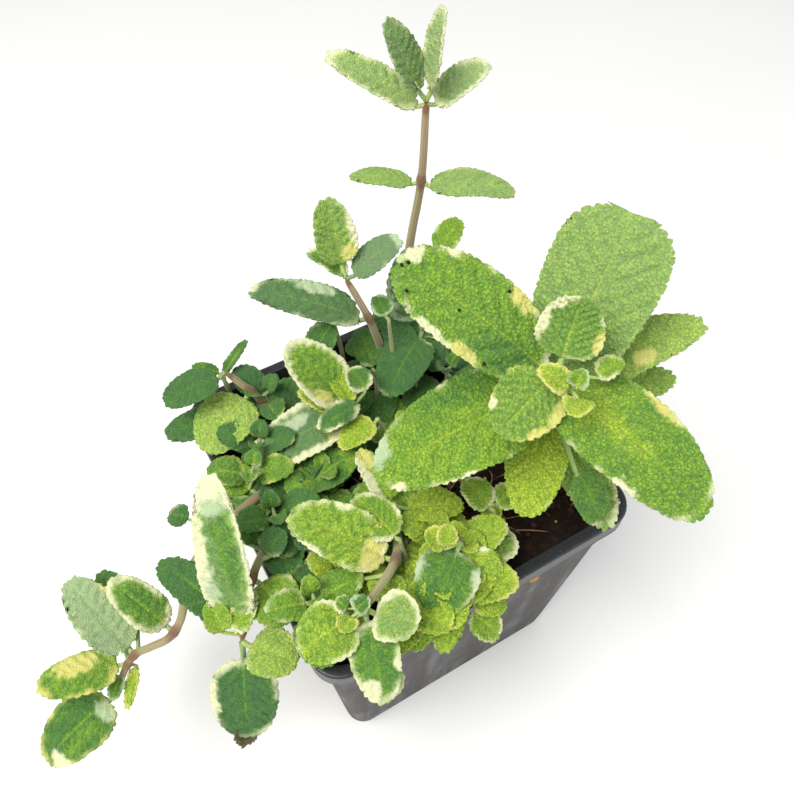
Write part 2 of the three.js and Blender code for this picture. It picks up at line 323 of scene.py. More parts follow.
class Leaf:
    # A blade on its own axes: x from the stalk to the tip, y to its left, z up.
    # A look without a base takes it from the CAD node of the same name.

    def __init__(self, name, look, seed):
        self.name = name
        self.look = leafDefaults | look
        self.length, self.width = look["size"]
        self.arch, self.cup = look["bend"]
        self.seed = seed
        turn, rise, *roll = look["aim"]
        self.axes = (Matrix.Rotation(math.radians(turn), 3, "Z")
                     @ Matrix.Rotation(math.radians(-rise), 3, "Y")
                     @ Matrix.Rotation(math.radians(roll[0] if roll else 0), 3, "X"))
        self.base = Vector(look["base"]) if "base" in look else self.baseOfNode()
        self.marginLengths = self.measureMargin()

    def baseOfNode(self):
        heading = self.axes @ Vector((1, 0, 0))
        verts = nodes[self.name].data.vertices
        places = {tuple(round(value / mm, 3) for value in vert.co) for vert in verts}
        rearmost = sorted(places, key=lambda place: Vector(place).dot(heading))[:10]
        return sum((Vector(place) for place in rearmost), Vector()) / len(rearmost)

    def measureMargin(self):
        lengths = [0.0]
        steps = bladeDetail["marginSteps"]
        for i in range(steps):
            angle = (i + 0.5) * math.pi / steps
            around = math.hypot(self.length * math.sin(angle), self.width * math.cos(angle))
            lengths.append(lengths[-1] + around / 2 * math.pi / steps)
        return lengths

    def marginAt(self, angle):
        # distance round the margin from the tip
        steps = bladeDetail["marginSteps"]
        spot = min(abs(angle) / math.pi * steps, steps - 0.001)
        i = int(spot)
        return mix(self.marginLengths[i], self.marginLengths[i + 1], spot - i)

    def surface(self, across, along):
        # a point of the unit grid, -1 to 1 both ways, to its place, veins and margin
        rng = self.seed * 7.31
        discX = along * math.sqrt(1 - across * across / 2)
        discY = across * math.sqrt(1 - along * along / 2)
        out = math.hypot(discX, discY)
        angle = math.atan2(discY, discX)
        around = self.marginAt(angle)
        size = min(1.0, self.width / 16)
        pitch = bladeDetail["toothPitch"] * mix(0.62, 1.0, size)
        wander = wobble(around * 0.23, rng, 3.0 if angle > 0 else 7.0)
        phase = around / pitch + wander * 0.9 + (1 - out) * 1.2
        tooth = abs(math.sin(math.pi * phase)) ** 0.75 - 0.55
        reach = bladeDetail["toothDepth"] * mix(0.55, 1.0, size) * self.look["teeth"]
        reach *= 0.75 + 0.6 * wobble(around * 0.4, rng + 5, angle > 0)
        grow = 1 + tooth * reach * smoothStep(0.8, 1.0, out) / (self.width * 0.5)
        discX *= grow
        discY *= grow
        share = (discX + 1) / 2
        flat = min(abs(discX), 0.9995)
        blunt = self.look["blunt"]
        full = (1 - flat ** blunt) ** (1 / blunt) / math.sqrt(1 - flat * flat)
        half = (self.width / 2) * full * (1 + self.look["ovate"] * (0.46 - share))
        x = mix(0.8, self.length, share)
        y = discY * half
        v = y / max(self.width / 2, 1e-6)
        return x, y, share, v, out, angle

    def relief(self, x, y, share, v, out):
        detail = bladeDetail
        size = min(1.0, self.width / 14)
        rng = self.seed * 7.31
        spacing = self.length / self.look["veins"]
        warped = y + 0.25 * wobble(x * 0.35, y * 0.35, rng)
        offset = 0.0 if y > 0 else 0.45
        sideways = (x - abs(warped) * detail["sideVeinLean"] - 0.018 * y * y) / spacing + offset
        sideways += 0.22 * wobble(x * 0.3, y * 0.5, rng + 2)
        between = sideways - math.floor(sideways)
        vein = math.exp(-((min(between, 1 - between) * spacing * 0.8) / 0.27) ** 2)
        vein *= 0.7 + 0.6 * wobble(x * 0.5, y * 0.5, rng + 4)
        vein *= smoothStep(1.0, 0.82, out) * smoothStep(0.0, 0.08, share)
        midrib = math.exp(-(y / mix(0.55, 0.28, share)) ** 2) * smoothStep(1.02, 0.85, share)
        cell = detail["cellSize"] * mix(0.75, 1.0, size)
        place = Vector((x / cell, y / cell, rng)) + 0.25 * drift(x * 0.8, y * 0.8, rng * 0.8)
        distances = noise.voronoi(place)[0]
        gap = distances[1] - distances[0]
        net = 1 - smoothStep(0.02, 0.20, gap)
        blister = smoothStep(0.0, 0.5, gap)
        puff = self.look["puff"] * mix(0.6, 1.0, size)
        edge = smoothStep(1.0, 0.86, out)
        lift = puff * (detail["cellLift"] * (blister - 0.5) * mix(0.5, 1.0, edge)
                       + detail["quiltLift"] * (math.sin(math.pi * between) - 0.5) * edge
                       * (1 - math.exp(-(y / 1.1) ** 2)))
        lift -= detail["grooveDepth"] * mix(0.6, 1.0, size) * (0.7 * vein + 1.2 * midrib)
        # shade: painted shade in the sunken grooves of the side veins, beside the midrib and in the net
        # between the blisters, partly also the veins' own darker green; the pale midrib line itself is left
        # light
        shade = max(0.65 * vein, 0.75 * midrib, 0.7 * net * mix(0.45, 1.0, size))
        shade *= 1 - 0.8 * math.exp(-(y / 0.28) ** 2)
        return lift, shade, blister

    def bend(self, x, share, v, out, angle):
        bow = self.arch * 4 * share * (1 - share)
        lift = self.cup * v * v
        wave = self.look["wave"] * smoothStep(0.5, 1.0, out)
        ripple = wave * wobble(x * 0.16, 2.0 if angle > 0 else 6.0, self.seed * 3.7)
        return bow + lift + ripple - self.look["droop"] * share ** 3

    def masks(self, x, y, share, v, out):
        # how green, cream, golden, milky and dry the blade is at a point
        look = self.look
        rough = wobble(x * 0.55, y * 0.55, self.seed * 2.9)
        fine = wobble(x * 2.1, y * 2.1, self.seed * 4.1)
        warp = 0.34 * rough + 0.22 * fine
        found = dict.fromkeys(maskNames, 0.0)
        found.update(tone=look["tone"] + 0.06 * rough, milk=look["milk"])
        width, cover = look["rim"]
        fromEdge = (1 - out) * self.width / 2
        along = wobble(x * 0.28, 9.0 if y > 0 else 4.0, self.seed * 5.3) * 0.5 + 0.5
        mood = wobble(x * 0.75, 3.0 if y > 0 else 8.0, self.seed * 1.7) * 0.5 + 0.5
        width = min(width, 0.1 * self.width) * (0.35 + 1.3 * mood)
        present = smoothStep(1 - cover - 0.22, 1 - cover + 0.22, along)
        margin = smoothStep(width * 1.35, width * 0.35, fromEdge + 0.35 * fine)
        rimKind = look["rimKind"]
        found[rimKind] = max(found[rimKind], 0.85 * margin * present)
        found["tone"] += 0.14 * present * smoothStep(width * 3.2, width * 1.1, fromEdge + 0.6 * fine)
        for kind, atShare, atV, sizeShare, sizeV in look["patches"]:
            far = math.hypot((share - atShare) / sizeShare, (v - atV) / sizeV)
            amount = smoothStep(1.18, 0.82, far + warp)
            if kind == "green":
                for other in ("cream", "yellow", "milk"):
                    found[other] *= 1 - amount
            elif kind in ("dark", "light"):
                found["tone"] += (0.22 if kind == "light" else -0.22) * smoothStep(1.4, 0.4, far + warp)
            else:
                found[kind] = max(found[kind], 0.86 * amount)
        return found

    def build(self, spacing, stemPoint=None):
        alongCount = max(int(self.length / spacing), 10)
        acrossCount = max(int(self.width / spacing), 8)
        bm = gridMesh(alongCount, acrossCount)
        layers = {key: bm.verts.layers.float.new(key) for key in (*maskNames, "vein")}
        for vert in bm.verts:
            x, y, share, v, out, angle = self.surface(2 * vert.co.y, 2 * vert.co.x)
            lift, shade, blister = self.relief(x, y, share, v, out)
            z = lift + self.bend(x, share, v, out, angle)
            for key, value in self.masks(x, y, share, v, out).items():
                vert[layers[key]] = value
            # painted highlight on the tops of the blisters and painted shade in the hollows between them
            vert[layers["tone"]] += 0.12 * min(1.0, self.width / 18) * (blister - 0.6)
            vert[layers["tone"]] += 0.3 * math.exp(-(y / 0.3) ** 2) * smoothStep(0.95, 0.6, share)
            # the vein layer carries the vein mask, with its painted groove shade, to the finishes
            vert[layers["vein"]] = shade
            vert.co = (self.base + self.axes @ Vector((x, y, z))) * mm
        if stemPoint is not None:
            self.addStalk(bm, layers, stemPoint)
        return bm

    def addStalk(self, bm, layers, stemPoint):
        # the petiole, from inside the stem to under the midrib
        radius = bladeDetail["petioleRadius"] * min(1.0, 0.45 + self.width / 24)
        spots = [x for x in (0.5, 2.0, 4.5, 8.0) if x < self.length * 0.45]
        under = [Vector((x, 0, self.bend(x, x / self.length, 0, 0, 0) - 0.6 - radius)) for x in spots]
        under = [self.base + self.axes @ place for place in under]
        points = [point * mm for point in smoothPath([stemPoint] + under, 14)]
        radii = [radius * mix(1.0, 0.35, (i / (len(points) - 1)) ** 1.5) * mm for i in range(len(points))]
        stalk = tubeMesh(points, radii, 8)
        stalkLayers = {key: stalk.verts.layers.float.new(key) for key in layers}
        for vert in stalk.verts:
            vert[stalkLayers["tone"]] = min(self.look["tone"] + 0.25, 0.9)
            vert[stalkLayers["milk"]] = 0.35
        joinInto(bm, stalk)


def smoothPath(points, count):
    # count points on a smooth line through the given ones
    padded = [points[0] * 2 - points[1]] + list(points) + [points[-1] * 2 - points[-2]]
    path = []
    for i in range(count):
        spot = i / (count - 1) * (len(points) - 1)
        k = min(int(spot), len(points) - 2)
        t = spot - k
        a, b, c, d = padded[k:k + 4]
        path.append(0.5 * ((2 * b) + (c - a) * t + (2 * a - 5 * b + 4 * c - d) * t * t
                           + (3 * b - a - 3 * c + d) * t * t * t))
    return path


# Stems

def stemRings(node):
    # the middle and the radius of each ring of a CAD stem, from its planted end to its tip, in mm
    bm = bmesh.new()
    bm.from_mesh(nodes[node].data)
    bmesh.ops.remove_doubles(bm, verts=bm.verts, dist=1e-6)
    caps = [vert for vert in bm.verts if len(vert.link_edges) == 8]
    planted = soilHigh.z - 0.012
    start = min(caps, key=lambda vert: abs(vert.co.z - planted))
    seen, layer, rings = {start}, [start], []
    while layer:
        layer = [edge.other_vert(vert) for vert in layer for edge in vert.link_edges]
        layer = list(dict.fromkeys(vert for vert in layer if vert not in seen))
        seen.update(layer)
        if len(layer) == 8:
            middle = sum((vert.co for vert in layer), Vector()) / 8
            radius = sum((vert.co - middle).length for vert in layer) / 8
            rings.append((middle / mm, radius / mm))
    bm.free()
    return rings


def buildStem(name, leaves, age):
    rings = stemRings(name)
    middles = [ring[0] for ring in rings]
    count = (len(rings) - 1) * 7 + 1
    path = smoothPath(middles, count)
    # the growing tip tapers to a close
    radii = [mix(rings[0][1], rings[-1][1], i / (count - 1)) for i in range(count)]
    for i in range(count):
        left = (count - 1 - i) / 5
        if left < 1:
            radii[i] *= math.sqrt(max(1 - (1 - left) ** 2, 0.02))
    knots = [min(range(count), key=lambda i: (path[i] - leaf.base).length) for leaf in leaves]
    knotAt = [path[i] for i in knots]
    for i in range(count):
        near = min(((path[i] - spot).length for spot in knotAt), default=99.0)
        radii[i] *= 1 + 0.32 * math.exp(-(near / 1.3) ** 2)
    bm = tubeMesh([point * mm for point in path], [radius * mm for radius in radii], 20, 0.05)
    ageLayer = bm.verts.layers.float.new("age")
    knotLayer = bm.verts.layers.float.new("knot")
    for vert in bm.verts:
        place = vert.co / mm
        near = min(((place - spot).length for spot in knotAt), default=99.0)
        vert[knotLayer] = 0.75 * smoothStep(3.4, 1.4, near + 0.8 * noise.noise(place * 0.7))
        vert[ageLayer] = min(max(age + 0.5 * noise.noise(place * 0.12), 0.0), 1.0)
    addPiece(name + "_skin", bm, [stemSkin], (name,))
    return path, knotAt


def blade(aim, size, bend, tone, rim=leafDefaults["rim"], patches=(), **more):
    return {"aim": aim, "size": size, "bend": bend, "tone": tone, "rim": rim, "patches": patches, **more}


# Each shoot: the spacing of its leaves' points, the age of its stem, and its leaves in the order of their
# CAD nodes. A leaf has its turn, rise and roll in degrees, its length and width, its arch and cup, its tone
# from 0, blue-green, to 1, lime, the width and cover of its pale margin, and its patches. A patch has its
# kind, its share of the length, its place across from -1 to 1, and its size in both.
shoots = {
    "front_right": (0.31, 0.35, [
        blade((126, 27, -10), (41, 22), (2, 1), 0.54, (1.1, 0.35), (
            ("cream", 0.95, -0.35, 0.05, 0.25), ("cream", 0.8, -0.92, 0.07, 0.18),
            ("cream", 0.7, 1.0, 0.13, 0.22), ("yellow", 0.46, 1.0, 0.1, 0.26),
            ("yellow", 0.3, -1.0, 0.12, 0.36), ("dark", 0.25, 0.4, 0.2, 0.5)), ovate=0.0),
        blade((174, -14, -8), (44, 23), (3, 1), 0.62, (0.9, 0.3), (
            ("milk", 0.95, -0.55, 0.09, 0.42), ("cream", 0.69, 0.98, 0.08, 0.14),
            ("cream", 0.57, 1.02, 0.06, 0.12), ("cream", 0.93, 0.5, 0.05, 0.14),
            ("dark", 0.4, -0.85, 0.3, 0.5))),
        blade((26, 52), (40, 25), (1, 1), 0.62, (0.5, 0.1), milk=0.2, blunt=2.8, ovate=-0.3),
        blade((-78, -7), (40, 23), (3, 0), 0.52, (0.8, 0.3), (
            ("cream", 0.64, -1.02, 0.09, 0.26), ("yellow", 0.5, 1.0, 0.16, 0.2),
            ("light", 0.19, 0.0, 0.2, 0.7), ("light", 0.45, -0.1, 0.2, 0.3))),
        blade((38, 54), (14, 14), (-1, 1), 0.5, (0.8, 0.4), (
            ("cream", 0.5, 0.95, 0.25, 0.25), ("cream", 0.85, 0.6, 0.12, 0.25),
            ("yellow", 0.36, -1, 0.22, 0.25)), milk=0.06),
        blade((-167, -20, -18), (17, 15), (2, 0), 0.6, (0.8, 0.3), (
            ("yellow", 0.25, 1.0, 0.25, 0.35), ("yellow", 0.7, 0.95, 0.15, 0.3),
            ("cream", 0.78, -0.75, 0.08, 0.2)), milk=0.06, rimKind="yellow"),
        blade((-20, 33), (38, 15), (4, 0), 0.78, (0.5, 0.1), (
            ("yellow", 0.6, -0.5, 0.07, 0.3),), milk=0.14, puff=0.6),
        blade((-31, 26), (31, 13), (2, 0), 0.72, (0.5, 0.1), milk=0.14, puff=0.6),
        blade((-133, -20), (28, 15), (3, 0), 0.98, (0.6, 0.15), puff=0.6),
        blade((-93, -15), (32, 14), (3, 0), 0.62, (0.9, 0.5), milk=0.1),
    ]),
    "tall_back": (0.6, 0.75, [
        blade((142, 27, -25), (25, 8), (1, 1), 0.62, (0.7, 0.55), milk=0.3),
        blade((-20, 36, 25), (16, 8), (1, 1), 0.5, (0.8, 0.6), milk=0.4),
        blade((156, 65, -40), (19, 9), (0, 1), 0.4, (0.6, 0.3), milk=0.3),
        blade((-49, 82, 40), (20, 9), (0, 1), 0.6, (0.7, 0.55), milk=0.4),
        blade((150, 5), (17, 7), (1, 0), 0.56, milk=0.16),
        blade((-40, 0), (23, 11), (2, 0), 0.6, milk=0.2),
    ]),
    "left_back": (0.6, 0.7, [
        blade((86, 62), (18, 11), (0, 1), 0.62, (0.8, 0.3), (
            ("cream", 0.5, -1.0, 0.36, 0.36), ("yellow", 0.12, -0.6, 0.15, 0.5)), milk=0.12),
        blade((-5, 27), (16, 10), (1, 0), 0.1, (0.6, 0.2), (("milk", 1.0, 0.1, 0.14, 0.9),), milk=0.22),
        blade((147, 17), (31, 13), (2, 1), 0.13, (0.7, 0.3), (("milk", 0.45, -0.75, 0.2, 0.3),), milk=0.08),
    ]),
    "middle_back": (0.6, 0.5, [
        blade((82, 72), (24, 19), (1, 0), 0.08, (1.2, 0.6), (
            ("milk", 0.3, 1.0, 0.2, 0.3),), milk=0.08, rimKind="milk"),
        blade((-143, 1), (24, 14), (2, 0), 0.1, (0.5, 0.2)),
    ]),
    "left_middle": (0.6, 0.45, [
        blade((118, 35), (22, 15), (1, 1), 0.5, (1.4, 0.7), (("yellow", 0.12, 0.8, 0.25, 0.5),)),
        blade((178, -15), (30, 16), (2, 1), 0.14, (1.6, 0.8), (
            ("milk", 0.97, 0.1, 0.08, 0.8), ("milk", 0.45, -0.45, 0.16, 0.25),
            ("cream", 0.5, 1.0, 0.34, 0.28), ("yellow", 0.1, 0.5, 0.14, 0.8)), milk=0.12),
        blade((-145, -10), (21, 14), (2, 0), 0.3, (0.6, 0.2)),
    ]),
    "left_edge": (0.6, 0.4, [
        blade((72, 46, -14), (39, 12), (2, 1), 0.36, (1.0, 0.8), (
            ("milk", 0.9, 0.0, 0.16, 1.0), ("cream", 0.97, 0.1, 0.12, 0.8), ("cream", 0.66, 1.0, 0.38, 0.5),
            ("milk", 0.3, 1.0, 0.3, 0.6), ("green", 0.5, -0.3, 0.26, 0.36),
            ("green", 0.66, 0.1, 0.05, 0.2)), milk=0.12),
        blade((118, 12), (24, 10), (2, 0), 0.14, (0.5, 0.1)),
        blade((-115, -38), (20, 16), (2, 0), 0.08, (1.0, 0.4), (("cream", 0.5, -1.1, 0.45, 0.32),)),
        blade((-51, 2), (13, 12), (2, 0), 0.8, (0.7, 0.4), milk=0.1),
        blade((-78, -4), (13, 13), (2, 0), 0.62, (0.9, 0.45)),
    ]),
    "trailing": (0.6, 0.55, [
        blade((108, 35), (24, 12), (1, 1), 0.44, (0.9, 0.3), (
            ("yellow", 0.45, -1.0, 0.42, 0.3),), milk=0.55, teeth=1.4),
        blade((118, 27), (19, 10), (2, 0), 0.34, (1.0, 0.7), (("cream", 0.6, -1.0, 0.35, 0.25),)),
        blade((172, 12), (20, 11), (1, 0), 0.52, (0.9, 0.5), (
            ("yellow", 0.5, -0.5, 0.3, 0.5),), rimKind="yellow"),
        blade((-160, 0), (20, 16), (2, 0), 0.26, (0.9, 0.5), (
            ("cream", 0.88, 0.5, 0.08, 0.5), ("milk", 0.1, 0.3, 0.1, 0.5),
            ("light", 0.5, 0.4, 0.3, 0.3)), rimKind="yellow"),
    ]),
    "front": (0.55, 0.3, [
        blade((132, 16), (26, 15), (2, 1), 0.7, (1.1, 0.4), (
            ("yellow", 0.06, 0.0, 0.15, 1.4), ("cream", 0.75, 0.95, 0.18, 0.24),
            ("cream", 0.56, -1.0, 0.1, 0.24))),
        blade((-175, -5), (14, 14), (2, 0), 0.72, (0.9, 0.5), rimKind="cream"),
        blade((-48, 6), (11, 12), (1, 0), 0.62, (1.2, 0.6), (("cream", 0.12, 0.9, 0.2, 0.5),), milk=0.16),
        blade((-106, -12), (18, 11), (2, 0), 0.34, (1.0, 0.5), (
            ("cream", 0.85, -0.5, 0.15, 0.5), ("cream", 0.58, 1.0, 0.12, 0.3))),
    ]),
    "centre": (0.55, 0.5, [
        blade((100, 28), (16, 7), (0, 1), 0.6, patches=(
            ("cream", 0.5, 0.8, 0.5, 0.6), ("yellow", 0.8, 0.0, 0.2, 0.6))),
        blade((-30, 5), (15, 9), (1, 0), 0.95, (0.4, 0.1)),
    ]),
    "front_low": (0.55, 0.45, [
        blade((-88, -22), (14, 12), (2, 0), 0.86, (0.8, 0.35), (("cream", 0.08, 0.7, 0.12, 0.4),)),
        blade((-142, -14), (16, 15), (2, 0), 0.34, (0.8, 0.3), (
            ("milk", 0.28, 0.95, 0.2, 0.25), ("milk", 0.45, -1.1, 0.3, 0.35))),
        blade((-130, -11), (25, 10), (3, 0), 0.84, (0.5, 0.2)),
        blade((-50, 2), (15, 11), (1, 0), 0.62, (1.2, 0.7), milk=0.1),
    ]),
    "left_corner": (0.6, 0.6, [
        blade((180, -5), (16, 11), (1, 0), 0.12, (0.4, 0.0)),
        blade((-151, -11), (19, 17), (2, 0), 0.8, (0.4, 0.0), milk=0.12, puff=0.7),
        blade((172, 0), (26, 12), (1, 0), 0.14, (0.4, 0.0)),
    ]),
}

# The small leaves that no CAD node stands for: place of the base, turn and rise, length and width, arch and
# cup, tone, and for some the kind of a marked margin, and then anything else about them.
smallLeaves = {
    "left_back": [
        ((5, 36, 125), (119, 9), (13, 5.5), (0.8, 0.4), 0.35, "cream"),
        ((-2, 34, 112), (-159, -39), (13, 9), (1, 0.3), 0.15),
    ],
    "middle_back": [
        ((12, 28, 112), (90, 24), (7, 6), (0.5, 0.4), 0.25, "milk"),
        ((31, 34, 122), (18, 34), (11, 8), (0.5, 0.5), 0.6),
        ((16, 21, 96), (86, 14), (17, 10), (1, 0.3), 0.1),
        ((6, 26, 95), (78, 12), (14, 8), (1, 0.3), 0.3),
    ],
    "left_middle": [
        ((-7, 13, 103), (92, 14), (12, 6), (0.5, 0.6), 0.8, "yellow"),
        ((-11, 15, 100), (124, 9), (12, 6), (0.5, 0.5), 0.85, "yellow"),
        ((-6, 11, 105), (-178, -13), (13, 7), (1, 0.5), 0.15, "cream"),
        ((-4, 6, 102), (-175, -14), (12, 8), (1, 0.5), 0.9, "yellow"),
        ((-3, 13, 105), (93, 22), (8, 7), (0.6, 0.5), 0.3, "cream"),
        ((-13, 4, 95), (-172, -12), (14, 11), (1, 0.3), 0.35),
        ((-27, 3, 93), (167, -13), (13, 12), (1, 0.3), 0.12),
        ((-27, 6, 92), (105, 12), (10, 10), (1, 0.3), 0.5),
        ((-40, 8, 93), (123, 5), (12, 10), (1, 0.3), 0.55),
        ((-45, -12, 96), (27, 15), (8, 7), (0.6, 0.4), 0.1),
        ((-44, 1, 92), (109, 16), (7, 8), (0.6, 0.4), 0.3),
        ((-26, -8, 90), (119, 12), (9, 9), (1, 0.3), 0.2),
        ((-36, -6, 90), (119, 6), (9, 8), (1, 0.3), 0.15),
    ],
    "left_corner": [
        ((-21, 30, 92), (118, 12), (9, 9), (0.8, 0.3), 0.2),
        ((-30, 27, 92), (87, 6), (9, 9), (0.8, 0.3), 0.25),
        ((-33, 44, 97), (14, 36), (12, 3.2), (0.3, 0.3), 0.25),
        ((-33, 45, 97), (149, 22), (8, 3.6), (0.3, 0.3), 0.3),
    ],
    "left_edge": [
        ((-65, -38, 74.5), (-112, -42), (7, 4.5), (-1.2, 2.4), 0.1, None,
         {"wave": 3.0, "puff": 2.4, "teeth": 1.5, "rim": (0.4, 0.0),
          "patches": (("dry", 0.6, 0, 0.7, 1.4),)}),
        ((-57, 9, 92), (139, 0), (6, 6), (0.6, 0.4), 0.15),
        ((-61, -23, 91), (85, 32), (9, 6), (0.6, 0.4), 0.7),
        ((-59, -24, 91), (34, 22), (11, 6), (0.6, 0.4), 0.65, "cream"),
        ((-44, -7, 93), (99, 7), (8, 7), (0.6, 0.4), 0.3),
    ],
    "trailing": [
        ((-86, -1, 66), (125, 16), (15, 9), (1, 0.4), 0.2, "milk", {"milk": 0.3}),
        ((-80, 1, 70), (107, 22), (16, 8), (1, 0.3), 0.2),
        ((-85, -9, 66), (-128, -22), (11, 3), (0.3, 0.3), 0.8, "yellow"),
        ((-89, -9, 66), (-135, -16), (7, 4), (0.3, 0.3), 0.3, "milk"),
    ],
    "front": [
        ((-26, -29, 97), (157, -11), (11, 7), (-0.5, -0.4), 0.6, "cream"),
        ((-34, -38, 105), (10, 24), (5, 4.5), (0.4, 0.6), 0.2, "milk"),
        ((-34, -38, 105), (-142, 11), (5, 4.5), (0.4, 0.6), 0.7, "yellow"),
        ((-34, -37, 105), (123, 30), (4, 4), (0.4, 0.6), 0.4, "cream"),
        ((-35, -51, 86), (9, 16), (7, 7), (0.5, 0.3), 0.5, "cream"),
    ],
    "centre": [
        ((-15, -25, 99), (107, 8), (15, 10), (1, 0.6), 0.55, "cream"),
        ((-12, -26, 87), (14, 10), (6, 7), (0.6, 0.3), 0.1),
    ],
    "front_low": [
        ((-7, -35, 103), (112, 18), (7, 6), (0.6, 0.5), 0.85, "yellow"),
        ((-7, -35, 103), (68, 31), (6, 5), (0.5, 0.5), 0.8, "yellow"),
        ((-7, -45, 93), (-24, -18), (10, 8.5), (0.8, 0.3), 0.85),
        ((-15, -41, 93), (-144, -6), (12, 7.5), (0.8, 0.3), 0.7),
        ((-8, -47, 92), (-58, -30), (10, 8.5), (0.8, 0.3), 0.7, "cream"),
        ((10, -29, 97), (105, 12), (10, 8), (0.8, 0.5), 0.65, "cream"),
        ((11, -28, 97), (-6, 14), (8, 7.5), (0.6, 0.5), 0.6, "cream"),
        ((11, -27, 97), (-114, -58), (6, 5), (0.6, 0.5), 0.8, "cream"),
    ],
    "front_right": [
        ((20, -33, 145), (113, 22), (8, 6), (0.6, 0.8), 0.85, "yellow"),
        ((21, -33, 145), (24, 58), (5, 4), (0.4, 0.8), 0.6, "milk"),
        ((22, -34, 144), (-140, 9), (6, 6), (0.6, 0.8), 0.9, "yellow"),
        ((30, -30, 140), (-5, 24), (7, 5), (0.5, 0.8), 0.6, "cream"),
        ((27, -37, 113), (-86, -44), (14, 9.5), (1.5, 0.2), 0.35),
    ],
    "tall_back": [
        ((33, 47, 163), (128, 49), (4, 3), (0.3, 0.5), 0.4, "milk"),
        ((34, 47, 163), (-44, 49), (4, 3), (0.3, 0.5), 0.6, "yellow"),
    ],
}


def smallBlade(base, aim, size, bend, tone, rimKind=None, more=None):
    look = blade(aim, size, bend, tone, base=base)
    if rimKind:
        look.update(rim=(0.7, 0.55), rimKind=rimKind)
    return look | (more or {})


def thicken(piece):
    addModifier(piece, "SOLIDIFY", thickness=bladeDetail["thickness"] * mm, offset=-1, material_offset=1,
                material_offset_rim=0)


# How the thin stems keep clear of the pot, in mm from its middle or over its rim
thinStem = {
    "footReach": 37,
    "insideRim": 41,
    "wall": 42.5,
    "twigOverRim": 2.5,
    "leafOverRim": 2.6,
    "nearPot": 48,
    "highest": 30,  # a base higher than this over the soil gets its stalk from the shoot
    "farFromShoot": 8,
    "sides": 10,
}


def addThinStem(name, path, thick, thin):
    last = len(path) - 1
    radii = [mix(thick, thin, i / last) * mm for i in range(len(path))]
    bm = tubeMesh([point * mm for point in path], radii, thinStem["sides"])
    bm.verts.layers.float.new("age")
    bm.verts.layers.float.new("knot")
    addPiece(name, bm, [stemSkin])


def twigPath(leaf):
    # from the soil to a small leaf that no shoot is near
    heading = leaf.axes @ Vector((1, 0, 0))
    reach, inside = thinStem["footReach"], thinStem["insideRim"]
    foot = Vector((clamp(leaf.base.x - heading.x * 5, reach), clamp(leaf.base.y - heading.y * 5, reach),
                   soilTop - 3))
    middle = mix(foot, leaf.base, 0.55) - heading
    if max(abs(leaf.base.x), abs(leaf.base.y)) > inside:
        middle = Vector((clamp(leaf.base.x, inside), clamp(leaf.base.y, inside),
                         rimTop + thinStem["twigOverRim"]))
    return smoothPath([foot, middle, leaf.base - heading * 0.6], 18)


def buildShoot(name, spacing, age, looks, seed):
    leaves = [Leaf(f"{name}_leaf_{i + 1}", look, seed * 20 + i) for i, look in enumerate(looks)]
    path, knots = buildStem(f"{name}_stem", leaves, age)
    for leaf, knot in zip(leaves, knots):
        bm = leaf.build(spacing * mix(0.75, 1.0, min(1.0, leaf.width / 16)), knot)
        thicken(addPiece(leaf.name + "_blade", bm, [leafSkin, leafBack], (leaf.name,)))
    for i, row in enumerate(smallLeaves.get(name, ())):
        leaf = Leaf(f"{name}_small_leaf_{i + 1}", smallBlade(*row), seed * 20 + 11 + i)
        base = leaf.base
        knot = min(path, key=lambda point: (point - base).length)
        overSoil = (max(abs(base.x), abs(base.y)) < thinStem["nearPot"]
                    and soilTop < base.z < soilTop + thinStem["highest"])
        if overSoil and (knot - base).length > thinStem["farFromShoot"]:
            twig = twigPath(leaf)
            knot = twig[-1]
            addThinStem(f"{name}_twig_{i + 1}", twig, 0.75, 0.5)
        bm = leaf.build(bladeDetail["pointSpacing"], knot)
        thicken(addPiece(leaf.name, bm, [leafSkin, leafBack]))


for number, (name, (spacing, age, looks)) in enumerate(shoots.items()):
    buildShoot(name, spacing, age, looks, number + 1)
    print("shoot built:", name)


def sprinkleGrit():
    # a few dark grains of potting mix on the biggest leaf
    leaf = Leaf("front_right_leaf_1", shoots["front_right"][2][0], 20)
    bm = bmesh.new()
    spots = ((0.97, 0.1), (0.95, -0.2), (0.88, 0.75), (0.6, 0.2), (0.35, 0.9), (0.42, -0.8), (0.2, -0.9))
    for share, v in spots:
        y = v * leaf.width / 2 * math.sqrt(max(1 - (2 * share - 1) ** 2, 0))
        top = leaf.bend(share * leaf.length, share, v, 0.5, 0) + 0.3
        start = len(bm.verts)
        bmesh.ops.create_icosphere(bm, subdivisions=2, radius=0.42)
        bm.verts.ensure_lookup_table()
        for vert in bm.verts[start:]:
            rough = vert.co * (1 + 0.5 * noise.noise(vert.co * 3 + Vector((share * 9, v, 0))))
            vert.co = (leaf.base + leaf.axes @ (Vector((share * leaf.length, y, top)) + rough)) * mm
    grit = Finish("dark_grit", Base_Color=tint(22, 20, 18), Roughness=0.9)
    addPiece("grit_on_leaf", bm, [grit.material])


sprinkleGrit()

# Low growth

# Short sprouts between the shoots, with crossing pairs of leaves. places: x, y and the height of the tip. The
# sprouts beside the wall get theirs from the rim.
lowGrowth = {
    "shaded": {"tone": 0.12, "rim": (0.5, 0.2), "size": 13, "places": (
        (-38, -2, 91), (-34, -13, 90), (-30, 7, 92), (-25, 33, 92), (-15, 27, 92), (7, 26, 92), (17, 35, 94),
        (-33, 19, 91), (-8, 19, 91), (25, 16, 94), (33, 31, 93), (35, 5, 92), (24, 1, 91))},
    "green": {"tone": 0.46, "rim": (0.7, 0.35), "size": 13, "places": (
        (-38, 12, 93), (-21, 3, 93), (-6, -7, 94), (-14, -14, 92), (5, 6, 91), (-39, -27, 92))},
    "lime": {"tone": 0.88, "rim": (0.6, 0.25), "size": 14, "places": (
        (-5, -27, 94), (-1, -33, 92), (-19, -39, 92), (-12, -40, 92), (-6, -40, 92), (-28, -25, 91))},
}


steepest = 62


